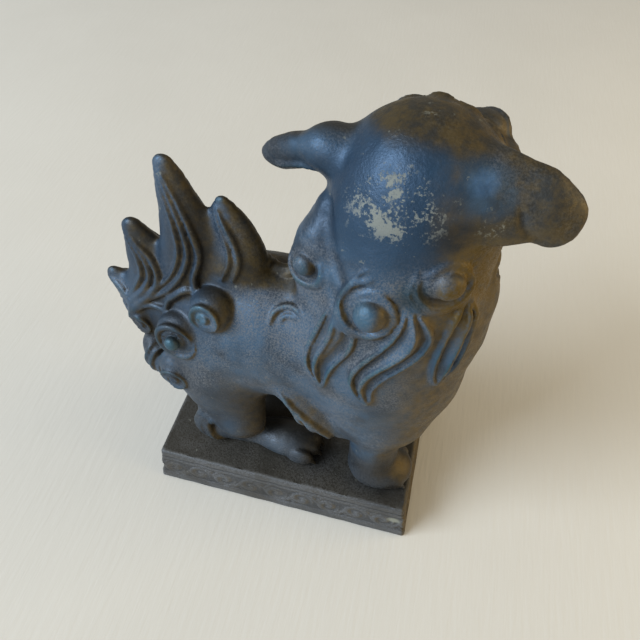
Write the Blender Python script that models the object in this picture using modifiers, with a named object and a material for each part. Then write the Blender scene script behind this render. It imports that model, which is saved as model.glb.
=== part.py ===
"""Guardian lion (foo dog) statue on a rectangular plinth, as an assembly of hollow castings.

The lion stands along +X with its head turned towards +Y. The origin is the centre of the
underside, +Z is up. The figure is laid out in figure units: hundredths of the plinth's
length, with heights measured from the plinth's deck.
"""

import math

import bmesh
import bpy
from mathutils import Euler, Matrix, Vector

# Driving dimensions, in metres
PLINTH_LENGTH = 0.110
PLINTH_WIDTH = 0.066
PLINTH_HEIGHT = 0.0225
PLINTH_FLARE = 0.0030
PLINTH_WALL = 0.0055
DECK_THICKNESS = 0.0050
EDGE_ROUND = 0.0006
FELT_THICKNESS = 0.0010
FELT_INSET = 0.0015
GAP = 0.0003

STUD_RADIUS = 0.0020
STUD_IN_PAW = 0.0090
STUD_BELOW_DECK = 0.0058
NUT_ACROSS_FLATS = 0.0070
NUT_THICKNESS = 0.0032
WASHER_RADIUS = 0.0045
WASHER_THICKNESS = 0.0008
DOWEL_RADIUS = 0.0012
DOWEL_LENGTH = 0.0100
TENON_RADIUS = 0.0030
TENON_LENGTH = 0.0060

FIGURE_UNIT = PLINTH_LENGTH / 100
CLAY_VOXEL = 0.0019
CLAY_KEEP = 0.14
CORE_VOXEL = 0.0032
CORE_KEEP = 0.25

# Joint planes between the castings, in figure units
NECK_JOINT = 94.0
EAR_JOINT = 20.5
EAR_LOW = -11.0
FRONT_LEG_JOINT = 22.0
HIND_LEG_JOINT = 16.0
BETWEEN_LEGS = 19.0
HEEL = -42.0
TAIL_JOINT = [(-95, -4), (-40, -4), (-40, 64), (-12, 86), (-4, 91), (-4, 106), (-14.5, 112),
              (-14.5, 135), (-95, 135)]
FAR = 200.0

# Where things sit on the figure, in figure units
HEAD_CENTRE = Vector((34, 3, 122))
HEAD_TURN = Euler((0, math.radians(-6), math.radians(-14)))
FRONT_PAW = (38, 14.5)
HIND_PAW = (1, 14)
FRONT_TENON = (34, 14.5)
HIND_TENON = (-24, 14)
TAIL_TENON_HEIGHTS = (40, 56)
NECK_DOWELS_X = (6, 58.4)

BRONZE = ((0.030, 0.042, 0.058), 0.75, 0.45)
BRONZE_BROWN = ((0.060, 0.050, 0.038), 0.70, 0.55)
STEEL = ((0.45, 0.45, 0.46), 1.0, 0.35)
BRASS = ((0.60, 0.45, 0.20), 1.0, 0.35)
FELT = ((0.03, 0.09, 0.05), 0.0, 0.95)


def clear_scene():
    """Remove every object, and the collections they leave empty."""
    for obj in list(bpy.data.objects):
        bpy.data.objects.remove(obj, do_unlink=True)
    for group in list(bpy.data.collections):
        bpy.data.collections.remove(group)


def new_collection(name):
    """A collection linked to the scene."""
    group = bpy.data.collections.new(name)
    bpy.context.scene.collection.children.link(group)
    return group


clear_scene()
PARTS = new_collection("foo_dog_statue")
CUTTERS = new_collection("cutters")


# ---------------------------------------------------------------- helpers

def at(x, y, z):
    """A place on the figure, in metres."""
    return Vector((x * FIGURE_UNIT, y * FIGURE_UNIT, PLINTH_HEIGHT + z * FIGURE_UNIT))


def on_head(x, y, z):
    """A place in the turned head's own directions, in figure units."""
    return HEAD_CENTRE + HEAD_TURN.to_matrix() @ Vector((x, y, z))


def add_object(name, mesh, group=PARTS):
    """An object that holds a mesh, in a collection."""
    obj = bpy.data.objects.new(name, mesh)
    group.objects.link(obj)
    if group is CUTTERS:
        obj.hide_render = True
        obj.display_type = "WIRE"
    return obj


def mesh_from(bm, name):
    """A mesh from a bmesh, which is freed."""
    bmesh.ops.recalc_face_normals(bm, faces=bm.faces)
    mesh = bpy.data.meshes.new(name)
    bm.to_mesh(mesh)
    bm.free()
    return mesh


def paint(obj, finish):
    """Give an object its own Principled material."""
    colour, metallic, roughness = finish
    material = bpy.data.materials.new(obj.name + "_finish")
    material.use_nodes = True
    shader = material.node_tree.nodes["Principled BSDF"]
    shader.inputs["Base Color"].default_value = (*colour, 1)
    shader.inputs["Metallic"].default_value = metallic
    shader.inputs["Roughness"].default_value = roughness
    obj.data.materials.append(material)


def shade(obj, angle=40):
    """Smooth shading with sharp edges kept."""
    obj.data.shade_smooth()
    obj.data.set_sharp_from_angle(angle=math.radians(angle))


def combine(obj, operation, cutter):
    """A Boolean modifier that cuts with, joins or keeps the other object."""
    step = obj.modifiers.new(operation.lower(), "BOOLEAN")
    step.operation = operation
    step.solver = "EXACT"
    step.object = cutter


def evaluated_copy(obj, name):
    """The mesh of an object with its modifiers worked in."""
    depsgraph = bpy.context.evaluated_depsgraph_get()
    mesh = bpy.data.meshes.new_from_object(obj.evaluated_get(depsgraph))
    mesh.name = name
    return mesh


# ---------------------------------------------------------------- plain solids

def rod(name, start, end, radius, group=CUTTERS, sides=16):
    """A round bar from one point to another, in metres."""
    start, end = Vector(start), Vector(end)
    axis = end - start
    bm = bmesh.new()
    bmesh.ops.create_cone(bm, cap_ends=True, segments=sides, radius1=radius, radius2=radius,
                          depth=axis.length)
    obj = add_object(name, mesh_from(bm, name), group)
    obj.location = (start + end) / 2
    obj.rotation_euler = axis.to_track_quat("Z", "Y").to_euler()
    return obj


def ring(name, centre, outer, inner, thickness, sides=18):
    """A flat ring on a vertical axis, with as many corners as sides."""
    bm = bmesh.new()
    bmesh.ops.create_circle(bm, segments=sides, radius=outer)
    bmesh.ops.create_circle(bm, segments=18, radius=inner)
    bmesh.ops.triangle_fill(bm, edges=bm.edges[:], use_beauty=True)
    lifted = bmesh.ops.extrude_face_region(bm, geom=bm.faces[:])
    moved = [v for v in lifted["geom"] if isinstance(v, bmesh.types.BMVert)]
    bmesh.ops.translate(bm, verts=moved, vec=(0, 0, thickness))
    obj = add_object(name, mesh_from(bm, name))
    obj.location = centre
    return obj


def block(name, low, high, group=CUTTERS, turn=None, pivot=None):
    """A box between two corners in figure units, turned about a pivot when one is given."""
    low, high = Vector(low), Vector(high)
    bm = bmesh.new()
    bmesh.ops.create_cube(bm, size=1)
    bmesh.ops.scale(bm, verts=bm.verts, vec=high - low)
    bmesh.ops.translate(bm, verts=bm.verts, vec=(low + high) / 2)
    if turn:
        matrix = Matrix.Translation(pivot) @ turn.to_matrix().to_4x4()
        bmesh.ops.transform(bm, verts=bm.verts, matrix=matrix)
    for vert in bm.verts:
        vert.co = at(*vert.co)
    return add_object(name, mesh_from(bm, name), group)


def prism(name, outline, half_width):
    """A closed outline in the XZ plane, in figure units, extruded to both sides along Y."""
    bm = bmesh.new()
    corners = [bm.verts.new(at(x, -half_width, z)) for x, z in outline]
    lifted = bmesh.ops.extrude_face_region(bm, geom=[bm.faces.new(corners)])
    moved = [v for v in lifted["geom"] if isinstance(v, bmesh.types.BMVert)]
    bmesh.ops.translate(bm, verts=moved, vec=(0, 2 * half_width * FIGURE_UNIT, 0))
    return add_object(name, mesh_from(bm, name), CUTTERS)


def tapered_box(name, bottom, top, length, width, flare, group):
    """A box whose foot spreads by the flare on every side."""
    bm = bmesh.new()
    bmesh.ops.create_cube(bm, size=1)
    for vert in bm.verts:
        spread = flare if vert.co.z < 0 else 0.0
        vert.co.x = math.copysign(length / 2 + spread, vert.co.x)
        vert.co.y = math.copysign(width / 2 + spread, vert.co.y)
        vert.co.z = bottom if vert.co.z < 0 else top
    return add_object(name, mesh_from(bm, name), group)


# ---------------------------------------------------------------- clay: soft unions of lumps

def smooth_line(points, steps=6):
    """A Catmull-Rom line through points of any number of columns."""
    rows = [Vector(p) for p in points]
    rows = [2 * rows[0] - rows[1], *rows, 2 * rows[-1] - rows[-2]]
    line = []
    for a, b, c, d in zip(rows, rows[1:], rows[2:], rows[3:]):
        for i in range(steps):
            t = i / steps
            line.append(0.5 * (2 * b + (c - a) * t + (2 * a - 5 * b + 4 * c - d) * t ** 2
                               + (3 * b - a - 3 * c + d) * t ** 3))
    return line + [rows[-2]]


def lump(centre, radii, turn=(0, 0, 0)):
    """An ellipsoid, turned by degrees about X, Y and Z."""
    return Vector(centre), Vector(radii), Euler([math.radians(a) for a in turn]).to_matrix()


def taper(points, squeeze=1.0):
    """Lumps along a line whose fourth column is the radius, flattened along Y."""
    return [(row.xyz, Vector((row.w, row.w * squeeze, row.w)), Matrix.Identity(3))
            for row in smooth_line(points)]


def mirrored(lumps):
    """The lumps and their reflections across the XZ plane."""
    flip = Matrix.Diagonal((1, -1, 1))
    return lumps + [(flip @ centre, radii, flip @ turn @ flip) for centre, radii, turn in lumps]


def clay(name, lumps, voxel, keep):
    """One closed smooth body made of overlapping lumps."""
    bm = bmesh.new()
    for centre, radii, turn in lumps:
        ball = bmesh.ops.create_uvsphere(bm, u_segments=20, v_segments=12, radius=1)
        for vert in ball["verts"]:
            vert.co = at(*(centre + turn @ (vert.co * radii)))
    rough = add_object(name + "_lumps", mesh_from(bm, name), CUTTERS)
    remesh = rough.modifiers.new("remesh", "REMESH")
    remesh.mode = "VOXEL"
    remesh.voxel_size = voxel
    smooth = rough.modifiers.new("smooth", "SMOOTH")
    smooth.factor = 0.5
    smooth.iterations = 4
    thin = rough.modifiers.new("thin", "DECIMATE")
    thin.ratio = keep
    body = add_object(name, evaluated_copy(rough, name), CUTTERS)
    bpy.data.objects.remove(rough, do_unlink=True)
    return body


def trunk_lumps():
    """Barrel, rump, chest and neck."""
    return [
        lump((-6, 0, 60), (38, 21, 29)),
        lump((-28, 0, 48), (20, 21, 30)),
        lump((27, 0, 62), (28, 25, 38)),
        lump((34, 0, 98), (27, 22, 35)),
        lump((12, 0, 82), (20, 20, 20)),
    ]


def head_lumps():
    """Cranium, brows, cheeks and muzzle, in the head's own directions."""
    turn = (0, -6, -14)
    brows = [lump(on_head(x, 15, 13), (8, 6, 6), turn) for x in (-10, 10)]
    cheeks = [lump(on_head(x, 12, -9), (9, 9, 10), turn) for x in (-12, 12)]
    return [
        lump(on_head(0, 0, 1), (22, 20, 23), turn),
        lump(on_head(0, 22, -8), (14, 12, 11), turn),
        *brows,
        *cheeks,
    ]


def ear_lumps():
    """Two drooping ears, the one over the chest broader."""
    return [
        lump((7, 6, 131), (7, 5.5, 5.5), (0, -12, -18)),
        lump((-1, 9, 126), (11, 5, 6), (-35, -12, -18)),
        lump((50, -1, 134), (8, 6, 7), (0, 20, 0)),
        lump((60, -4, 131), (11.5, 5, 10), (-40, 24, -8)),
    ]


def front_leg_lumps():
    """One front leg with its paw, on the +Y side."""
    return [
        *taper([(31, 14, 50, 13), (34, 15, 24, 9.5), (34, 15, 6, 8.5)]),
        lump((39, 14.5, 5), (12.5, 9.5, 7)),
    ]


def hind_leg_lumps():
    """One hind leg: thigh, hock, long foot and paw, on the +Y side."""
    return [
        lump((-24, 13, 34), (15, 9, 22), (0, -15, 0)),
        lump((-19, 15, 16), (10, 7.5, 10), (0, -25, 0)),
        *taper([(-33, 12, 14, 5), (-30, 14, 6, 5.5), (-4, 14, 5, 5)]),
        lump((3, 14, 5.5), (12, 7.5, 6.5)),
    ]


def tail_lumps():
    """The flame tail: a stem on the rump, four upright locks and curled knobs on both faces."""
    locks = [
        taper([(-47, -4, 60, 8), (-55, -3, 68, 6), (-61, -3, 76, 2.6)], 0.75),
        taper([(-42, -4, 66, 8), (-47, -3, 82, 7), (-50, -2, 95, 4.5), (-50, -2, 101, 2.4)], 0.75),
        taper([(-36, -5, 68, 9), (-34, -4, 84, 9), (-32, -2, 102, 6.5), (-33, 0, 123, 2.6)], 0.75),
        taper([(-27, -5, 72, 7), (-18, -3, 86, 8.5), (-15, -1, 98, 7), (-18, 0, 112, 2.2)], 0.75),
    ]
    knobs = [
        lump((-25, 12, 75), (7, 6, 7)),
        lump((-38, 12, 59), (9, 7, 9)),
        lump((-50, 7, 57), (6.5, 6, 7)),
        lump((-49, 8, 35), (7, 6, 7)),
        lump((-42, 9, 24), (6, 5, 6)),
    ]
    stem = lump((-43, -2, 56), (13, 9, 28), (0, -14, 0))
    return [stem, *sum(locks, []), *mirrored(knobs)]


def core_lumps():
    """The hollow inside the trunk and head."""
    return [
        lump((-4, 0, 60), (34, 17, 25)),
        lump((-23, 0, 52), (14, 16, 22)),
        lump((27, 0, 62), (23, 20, 31)),
        lump((34, 0, 97), (22, 17, 34)),
        lump(HEAD_CENTRE, (17.5, 15.5, 18.5), (0, -6, -14)),
    ]


# ---------------------------------------------------------------- the castings

def section(name, source, steps, finish):
    """A casting: the whole figure cut down by Boolean steps."""
    obj = add_object(name, source.data.copy())
    for operation, cutter in steps:
        combine(obj, operation, cutter)
    obj.data = evaluated_copy(obj, name)
    obj.modifiers.clear()
    shade(obj, 60)
    paint(obj, finish)
    return obj


def stud_places():
    """Name and place of each foot stud, in figure units."""
    sides = (("left", 1), ("right", -1))
    front = [(f"front_{side}", FRONT_PAW[0], s * FRONT_PAW[1]) for side, s in sides]
    hind = [(f"hind_{side}", HIND_PAW[0], s * HIND_PAW[1]) for side, s in sides]
    return front + hind


def tenon(name, start, direction, length=TENON_LENGTH, radius=TENON_RADIUS):
    """A tenon's bar, rooted in its own casting, and the bore of its socket."""
    start, direction = Vector(start), Vector(direction).normalized()
    root = start - direction * TENON_LENGTH / 2
    bar = rod(name + "_bar", root, start + direction * (length + GAP), radius)
    bore = rod(name + "_bore", root, start + direction * (length + 2 * GAP), radius + GAP)
    return bar, bore


def make_legs(figure):
    """Four lower legs with paws, each with a tenon on top and a stud hole in its sole."""
    bores = []
    half = GAP / FIGURE_UNIT / 2
    for pair, joint, place, tenon_at in (
        ("front", FRONT_LEG_JOINT, FRONT_PAW, FRONT_TENON),
        ("hind", HIND_LEG_JOINT, HIND_PAW, HIND_TENON),
    ):
        ahead = (BETWEEN_LEGS, FAR) if pair == "front" else (HEEL, BETWEEN_LEGS)
        for side, sign in (("left", 1), ("right", -1)):
            name = f"{pair}_leg_{side}"
            width = (0, FAR) if sign > 0 else (-FAR, 0)
            keep = block(name + "_room", (ahead[0], width[0], half), (ahead[1], width[1], joint - half))
            top = at(tenon_at[0], sign * tenon_at[1], joint)
            bar, bore = tenon(name, top, (0, 0, 1))
            sole = at(place[0], sign * place[1], 0)
            hole = rod(name + "_stud_hole", sole - Vector((0, 0, 0.01)),
                       sole + Vector((0, 0, STUD_IN_PAW + GAP)), STUD_RADIUS + GAP)
            steps = (("INTERSECT", keep), ("UNION", bar), ("DIFFERENCE", hole))
            section(name, figure, steps, BRONZE_BROWN)
            bores.append(bore)
    return bores


def ear_room(name, sign, extra):
    """Everything outside an ear's joint plane, moved out by an extra width."""
    inner = EAR_JOINT + extra
    low = (inner, -60, EAR_LOW) if sign > 0 else (-FAR, -60, EAR_LOW)
    high = (FAR, 60, 60) if sign > 0 else (-inner, 60, 60)
    return block(name, low, high, turn=HEAD_TURN, pivot=HEAD_CENTRE)


def make_ears(figure, tail_cut):
    """Both ears, tenoned into the sides of the head."""
    rooms, bores = [], []
    for side, sign in (("left", -1), ("right", 1)):
        name = f"ear_{side}"
        outward = HEAD_TURN.to_matrix() @ Vector((sign, 0, 0))
        start = at(*on_head(sign * EAR_JOINT, -1, 6))
        bar, bore = tenon(name, start, -outward)
        room = ear_room(name + "_room", sign, GAP / FIGURE_UNIT)
        steps = (("INTERSECT", room), ("DIFFERENCE", tail_cut), ("UNION", bar))
        section(name, figure, steps, BRONZE)
        rooms.append(ear_room(name + "_cut", sign, 0.0))
        bores.append(bore)
    return rooms, bores


def neck_dowels():
    """Two pins that lock the head to the neck, and their holes."""
    holes = []
    for side, x in zip(("rear", "front"), NECK_DOWELS_X):
        middle = at(x, 0, NECK_JOINT)
        reach = Vector((0, 0, DOWEL_LENGTH / 2))
        pin = rod(f"neck_dowel_{side}", middle - reach, middle + reach, DOWEL_RADIUS, PARTS)
        shade(pin)
        paint(pin, BRASS)
        slack = Vector((0, 0, GAP))
        holes.append(rod(f"neck_dowel_{side}_hole", middle - reach - slack, middle + reach + slack,
                         DOWEL_RADIUS + GAP))
    return holes


def make_head(figure, core, holes, tail_cut):
    """The head, hollow and open at the neck, cut free of the ears."""
    ear_cuts, ear_bores = make_ears(figure, tail_cut)
    half = GAP / FIGURE_UNIT / 2
    keep = block("head_room", (-FAR, -FAR, NECK_JOINT + half), (FAR, FAR, FAR))
    steps = [("INTERSECT", keep), ("DIFFERENCE", tail_cut), ("DIFFERENCE", core)]
    steps += [("DIFFERENCE", cutter) for cutter in (*ear_cuts, *ear_bores, *holes)]
    section("head", figure, steps, BRONZE)


def make_tail(figure):
    """The flame tail, with two tenons into the rump."""
    outline = prism("tail_outline", TAIL_JOINT, 60)
    bores = []
    steps = [("INTERSECT", outline)]
    for height in TAIL_TENON_HEIGHTS:
        bar, bore = tenon(f"tail_{height}", at(TAIL_JOINT[1][0], 0, height), (1, 0, 0))
        steps.append(("UNION", bar))
        bores.append(bore)
    section("tail", figure, steps, BRONZE)
    gap = GAP / FIGURE_UNIT
    grown = [(x + gap, z - gap) for x, z in TAIL_JOINT]
    return prism("tail_cut", grown, 60), bores


def make_body(figure, core, tail_cut, bores):
    """Barrel, chest and neck in one hollow casting, open at the neck."""
    half = GAP / FIGURE_UNIT / 2
    below_neck = block("body_room", (-FAR, -FAR, 0), (FAR, FAR, NECK_JOINT - half))
    clear_front = block("front_leg_cut", (BETWEEN_LEGS, -FAR, -5), (FAR, FAR, FRONT_LEG_JOINT + half))
    clear_hind = block("hind_leg_cut", (-FAR, -FAR, -5), (BETWEEN_LEGS, FAR, HIND_LEG_JOINT + half))
    steps = [("INTERSECT", below_neck), ("DIFFERENCE", tail_cut), ("DIFFERENCE", clear_front),
             ("DIFFERENCE", clear_hind), ("DIFFERENCE", core)]
    steps += [("DIFFERENCE", bore) for bore in bores]
    section("body", figure, steps, BRONZE)


# ---------------------------------------------------------------- plinth and fixings

def make_plinth():
    """A shell open below, with a hole for each foot stud in its deck."""
    foot = FELT_THICKNESS + GAP
    plinth = tapered_box("plinth", foot, PLINTH_HEIGHT, PLINTH_LENGTH, PLINTH_WIDTH,
                         PLINTH_FLARE, PARTS)
    bevel = plinth.modifiers.new("round_edges", "BEVEL")
    bevel.width = EDGE_ROUND
    bevel.segments = 2
    hollow = tapered_box("plinth_hollow", foot - 0.001, PLINTH_HEIGHT - DECK_THICKNESS,
                         PLINTH_LENGTH - 2 * PLINTH_WALL, PLINTH_WIDTH - 2 * PLINTH_WALL,
                         PLINTH_FLARE, CUTTERS)
    combine(plinth, "DIFFERENCE", hollow)
    for name, x, y in stud_places():
        middle = at(x, y, 0)
        reach = Vector((0, 0, 2 * DECK_THICKNESS))
        combine(plinth, "DIFFERENCE",
                rod(f"deck_hole_{name}", middle - reach, middle + reach, STUD_RADIUS + GAP))
    paint(plinth, BRONZE_BROWN)
    plinth.data.materials.update()


def make_fixings():
    """A stud, washer and nut under each paw."""
    deck_under = PLINTH_HEIGHT - DECK_THICKNESS
    for name, x, y in stud_places():
        sole = at(x, y, 0)
        stud = rod(f"stud_{name}", (sole.x, sole.y, deck_under - STUD_BELOW_DECK),
                   sole + Vector((0, 0, STUD_IN_PAW)), STUD_RADIUS, PARTS)
        shade(stud)
        paint(stud, STEEL)
        washer_foot = deck_under - GAP - WASHER_THICKNESS
        washer = ring(f"washer_{name}", (sole.x, sole.y, washer_foot), WASHER_RADIUS,
                      STUD_RADIUS + GAP, WASHER_THICKNESS)
        paint(washer, STEEL)
        nut = ring(f"nut_{name}", (sole.x, sole.y, washer_foot - GAP - NUT_THICKNESS),
                   NUT_ACROSS_FLATS / math.sqrt(3), STUD_RADIUS + GAP, NUT_THICKNESS, sides=6)
        paint(nut, STEEL)


def make_felt():
    """A felt sheet glued under the rim, which closes the hollow."""
    length = PLINTH_LENGTH + 2 * (PLINTH_FLARE - FELT_INSET)
    width = PLINTH_WIDTH + 2 * (PLINTH_FLARE - FELT_INSET)
    felt = tapered_box("felt_sheet", 0.0, FELT_THICKNESS, length, width, 0.0, PARTS)
    paint(felt, FELT)


def build():
    """The whole statue."""
    lumps = trunk_lumps() + head_lumps() + ear_lumps() + tail_lumps()
    lumps += mirrored(front_leg_lumps()) + mirrored(hind_leg_lumps())
    figure = clay("figure", lumps, CLAY_VOXEL, CLAY_KEEP)
    core = clay("core", core_lumps(), CORE_VOXEL, CORE_KEEP)
    holes = neck_dowels()
    leg_bores = make_legs(figure)
    tail_cut, tail_bores = make_tail(figure)
    make_head(figure, core, holes, tail_cut)
    make_body(figure, core, tail_cut, holes + leg_bores + tail_bores)
    make_plinth()
    make_fixings()
    make_felt()


build()
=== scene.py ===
"""Looks of the guardian lion (foo dog) statue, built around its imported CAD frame."""
import math

import bmesh
import bpy
import numpy as np
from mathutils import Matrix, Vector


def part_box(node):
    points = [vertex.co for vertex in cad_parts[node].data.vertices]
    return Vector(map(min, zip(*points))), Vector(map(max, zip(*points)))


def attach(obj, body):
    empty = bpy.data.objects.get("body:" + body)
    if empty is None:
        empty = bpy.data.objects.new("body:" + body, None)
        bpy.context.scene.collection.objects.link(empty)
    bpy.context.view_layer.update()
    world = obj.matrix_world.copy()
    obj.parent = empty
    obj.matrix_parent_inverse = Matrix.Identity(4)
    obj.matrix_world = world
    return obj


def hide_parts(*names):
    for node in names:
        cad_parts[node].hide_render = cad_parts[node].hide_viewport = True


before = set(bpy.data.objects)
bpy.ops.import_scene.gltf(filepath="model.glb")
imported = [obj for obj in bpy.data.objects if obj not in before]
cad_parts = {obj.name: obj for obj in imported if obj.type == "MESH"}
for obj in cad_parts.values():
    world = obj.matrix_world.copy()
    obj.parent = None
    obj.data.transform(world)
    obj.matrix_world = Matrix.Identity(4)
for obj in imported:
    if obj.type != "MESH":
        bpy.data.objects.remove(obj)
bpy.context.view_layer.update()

import openvdb as vdb
from mathutils import Vector

# The figure is sculpted in figure units: hundredths of the plinth's deck length, from the
# middle of the deck, +X towards the chest, +Y the way the head faces, +Z up.
DECK_LENGTH = 100
FOOT_LENGTH = 105.27
PLINTH_LOW, PLINTH_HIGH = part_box("plinth")
UNIT = (PLINTH_HIGH.x - PLINTH_LOW.x) / FOOT_LENGTH
DECK = PLINTH_HIGH.z

# The block that the figure is sculpted in, its cells' size and the distance stored in empty cells.
CLAY_LOW = (-78, -40, -3)
CLAY_HIGH = (80, 50, 154)
CLAY_STEP = 0.6
EMPTY = 10.0

HEAD_CENTRE = np.array([34.0, 3.0, 122.0])

# The camera, in degrees, figure units and millimetres of lens and sensor.
CAMERA_AZIMUTH, CAMERA_ELEVATION = 14.5, 52.1
CAMERA_TARGET, CAMERA_DISTANCE = (8.2, 4.3, 62.5), 190
CAMERA_LENS, CAMERA_SENSOR = 31.5, 36

# The lion's right and left, as signs of y.
SIDES = (-1, 1)


# -------- clay

def rot_y(degrees):
    """Rotation matrix about Y."""
    c, s = math.cos(math.radians(degrees)), math.sin(math.radians(degrees))
    return np.array([[c, 0, s], [0, 1, 0], [-s, 0, c]])


def rot_z(degrees):
    """Rotation matrix about Z."""
    c, s = math.cos(math.radians(degrees)), math.sin(math.radians(degrees))
    return np.array([[c, -s, 0], [s, c, 0], [0, 0, 1]])


# The head's yaw and tilt: the face looks a little towards the chest.
HEAD_TURN = rot_z(-14) @ rot_y(-6)


def on_head(x, y, z):
    """A point given in the head's own directions, the face towards +Y."""
    return HEAD_CENTRE + HEAD_TURN @ np.array((x, y, z), float)


class Clay:
    """A signed distance field on a grid: negative inside, in figure units.

    Relief is laid on its skin, which is the clay itself or a kept copy of the large forms.
    """

    def __init__(self, low, high, step):
        self.step = step
        self.low = np.array(low, float)
        counts = np.ceil((np.array(high) - self.low) / step).astype(int) + 1
        self.field = np.full(counts, EMPTY, np.float32)
        self.skin = self

    def window(self, low, high, margin):
        """Grid slices around a box, and the coordinates of their cells."""
        first = np.maximum(np.floor((low - margin - self.low) / self.step).astype(int), 0)
        last = np.ceil((high + margin - self.low) / self.step).astype(int) + 1
        last = np.minimum(last, self.field.shape)
        cells = tuple(slice(a, b) for a, b in zip(first, np.maximum(last, first)))
        axes = [self.low[i] + self.step * np.arange(first[i], max(last[i], first[i]), dtype=np.float32)
                for i in range(3)]
        return cells, np.meshgrid(*axes, indexing="ij", sparse=True)

    def merge(self, shape, blend, sign):
        """Union with a shape for sign 1, or take it away for sign -1."""
        distance, low, high, thinness = shape
        cells, grid = self.window(low, high, (blend + 3 * self.step) / thinness)
        old = sign * self.field[cells]
        if old.size:
            new = distance(*grid)
            self.field[cells] = sign * (np.minimum(old, new) - soft(old, new, blend))

    def add(self, shape, blend=0.0):
        """Union with a shape, softened over the blend distance."""
        self.merge(shape, blend, 1)

    def cut(self, shape, blend=0.0):
        """Take a shape away, softened over the blend distance."""
        self.merge(shape, blend, -1)

    def lump(self, centre, radii, blend=0.0, turn=None):
        """Union with an ellipsoid."""
        self.add(ellipsoid(centre, radii, turn), blend)

    def sample(self, points):
        """The field at points, by trilinear interpolation."""
        where = (points - self.low) / self.step
        base = np.clip(np.floor(where).astype(int), 0, np.array(self.field.shape) - 2)
        part = np.clip(where - base, 0, 1)
        total = np.zeros(len(points))
        for corner in np.ndindex(2, 2, 2):
            index = base + corner
            weight = np.prod(np.where(corner, part, 1 - part), axis=1)
            total += weight * self.field[index[:, 0], index[:, 1], index[:, 2]]
        return total

    def slope(self, points):
        """The field's gradient at points."""
        reach = 1.5 * self.step
        steps = np.eye(3) * reach
        return np.stack([(self.sample(points + s) - self.sample(points - s)) / (2 * reach)
                         for s in steps], axis=1)

    def snap(self, points):
        """The points moved to the surface, and the surface's normals there."""
        points = np.array(points, float)
        for _ in range(8):
            slope = self.slope(points)
            size = np.maximum((slope ** 2).sum(1), 0.05)
            points -= np.clip(self.sample(points) / size, -4, 4)[:, None] * slope
        slope = self.slope(points)
        return points, slope / (np.linalg.norm(slope, axis=1)[:, None] + 1e-9)


def soft(a, b, blend):
    """How far a smooth union or cut moves the surface."""
    if not blend:
        return 0.0
    near = np.maximum(blend - np.abs(a - b), 0)
    return near * near / (4 * blend)


def ellipsoid(centre, radii, turn=None):
    """An ellipsoid whose axes are the columns of turn."""
    centre, radii = np.array(centre, float), np.array(radii, float)
    turn = np.eye(3) if turn is None else turn
    reach = np.sqrt(((turn * radii) ** 2).sum(1))

    def distance(x, y, z):
        dx, dy, dz = x - centre[0], y - centre[1], z - centre[2]
        along = [(turn[0, i] * dx + turn[1, i] * dy + turn[2, i] * dz) / radii[i] for i in range(3)]
        size = np.sqrt(sum(a * a for a in along)) + 1e-6
        stretch = np.sqrt(sum((a / r) ** 2 for a, r in zip(along, radii))) + 1e-6
        return (size * (size - 1) / stretch).astype(np.float32)

    return distance, centre - reach, centre + reach, 1.0


def head_lump(x, y, z, radii):
    """An ellipsoid placed and turned in the head's own directions."""
    return ellipsoid(on_head(x, y, z), radii, HEAD_TURN)


def spline(rows, spacing=2.0):
    """A Catmull-Rom curve through rows of any width, about spacing apart."""
    rows = np.array(rows, float)
    ends = np.vstack([2 * rows[0] - rows[1], rows, 2 * rows[-1] - rows[-2]])
    curve = []
    for a, b, c, d in zip(ends, ends[1:], ends[2:], ends[3:]):
        count = max(2, int(np.linalg.norm((c - b)[:3]) / spacing))
        t = np.linspace(0, 1, count, endpoint=False)[:, None]
        curve.append(0.5 * (2 * b + (c - a) * t + (2 * a - 5 * b + 4 * c - d) * t ** 2
                            + (3 * b - a - 3 * c + d) * t ** 3))
    return np.vstack(curve + [rows[-1:]])


def chain(rows, flat=1.0, thin=(0, 1, 0)):
    """A tapered bar through rows of x, y, z, radius, squeezed to flat along the thin axis."""
    thin = np.array(thin, float) / np.linalg.norm(thin)
    rows = np.array(rows, float)
    squeeze = 1 / flat - 1

    def stretched(point):
        return point + thin * (point @ thin) * squeeze

    links = [(stretched(a[:3]), stretched(b[:3]), a[3], b[3]) for a, b in zip(rows, rows[1:])]

    def distance(x, y, z):
        along = (x * thin[0] + y * thin[1] + z * thin[2]) * squeeze
        px, py, pz = x + along * thin[0], y + along * thin[1], z + along * thin[2]
        best = None
        for a, b, ra, rb in links:
            v = b - a
            dx, dy, dz = px - a[0], py - a[1], pz - a[2]
            t = np.clip((dx * v[0] + dy * v[1] + dz * v[2]) / (v @ v + 1e-9), 0, 1)
            gap = np.sqrt((dx - t * v[0]) ** 2 + (dy - t * v[1]) ** 2 + (dz - t * v[2]) ** 2)
            gap -= ra + t * (rb - ra)
            best = gap if best is None else np.minimum(best, gap)
        return (best * flat).astype(np.float32)

    reach = rows[:, 3:4]
    return distance, (rows[:, :3] - reach).min(0), (rows[:, :3] + reach).max(0), flat


def bar(rows, flat=1.0, thin=(0, 1, 0)):
    """A chain along a smooth curve through its rows."""
    return chain(spline(rows), flat, thin)


# -------- large forms

def shape_trunk(clay):
    """Barrel, rump, chest and neck."""
    clay.lump((-6, 0, 60), (38, 21, 29))
    clay.lump((-28, 0, 48), (20, 21, 30), 8)
    clay.lump((29, 0, 65), (29, 25, 38), 8)
    clay.lump((32, 0, 50), (24, 22, 24), 8)
    clay.lump((32, 0, 98), (25, 22, 34), 10)


def shape_head(clay):
    """Cranium and muzzle."""
    clay.add(head_lump(0, 0, 1, (22, 20, 22.6)), 8)
    clay.add(head_lump(0, 20, -8, (14, 13, 11)), 6)


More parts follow.
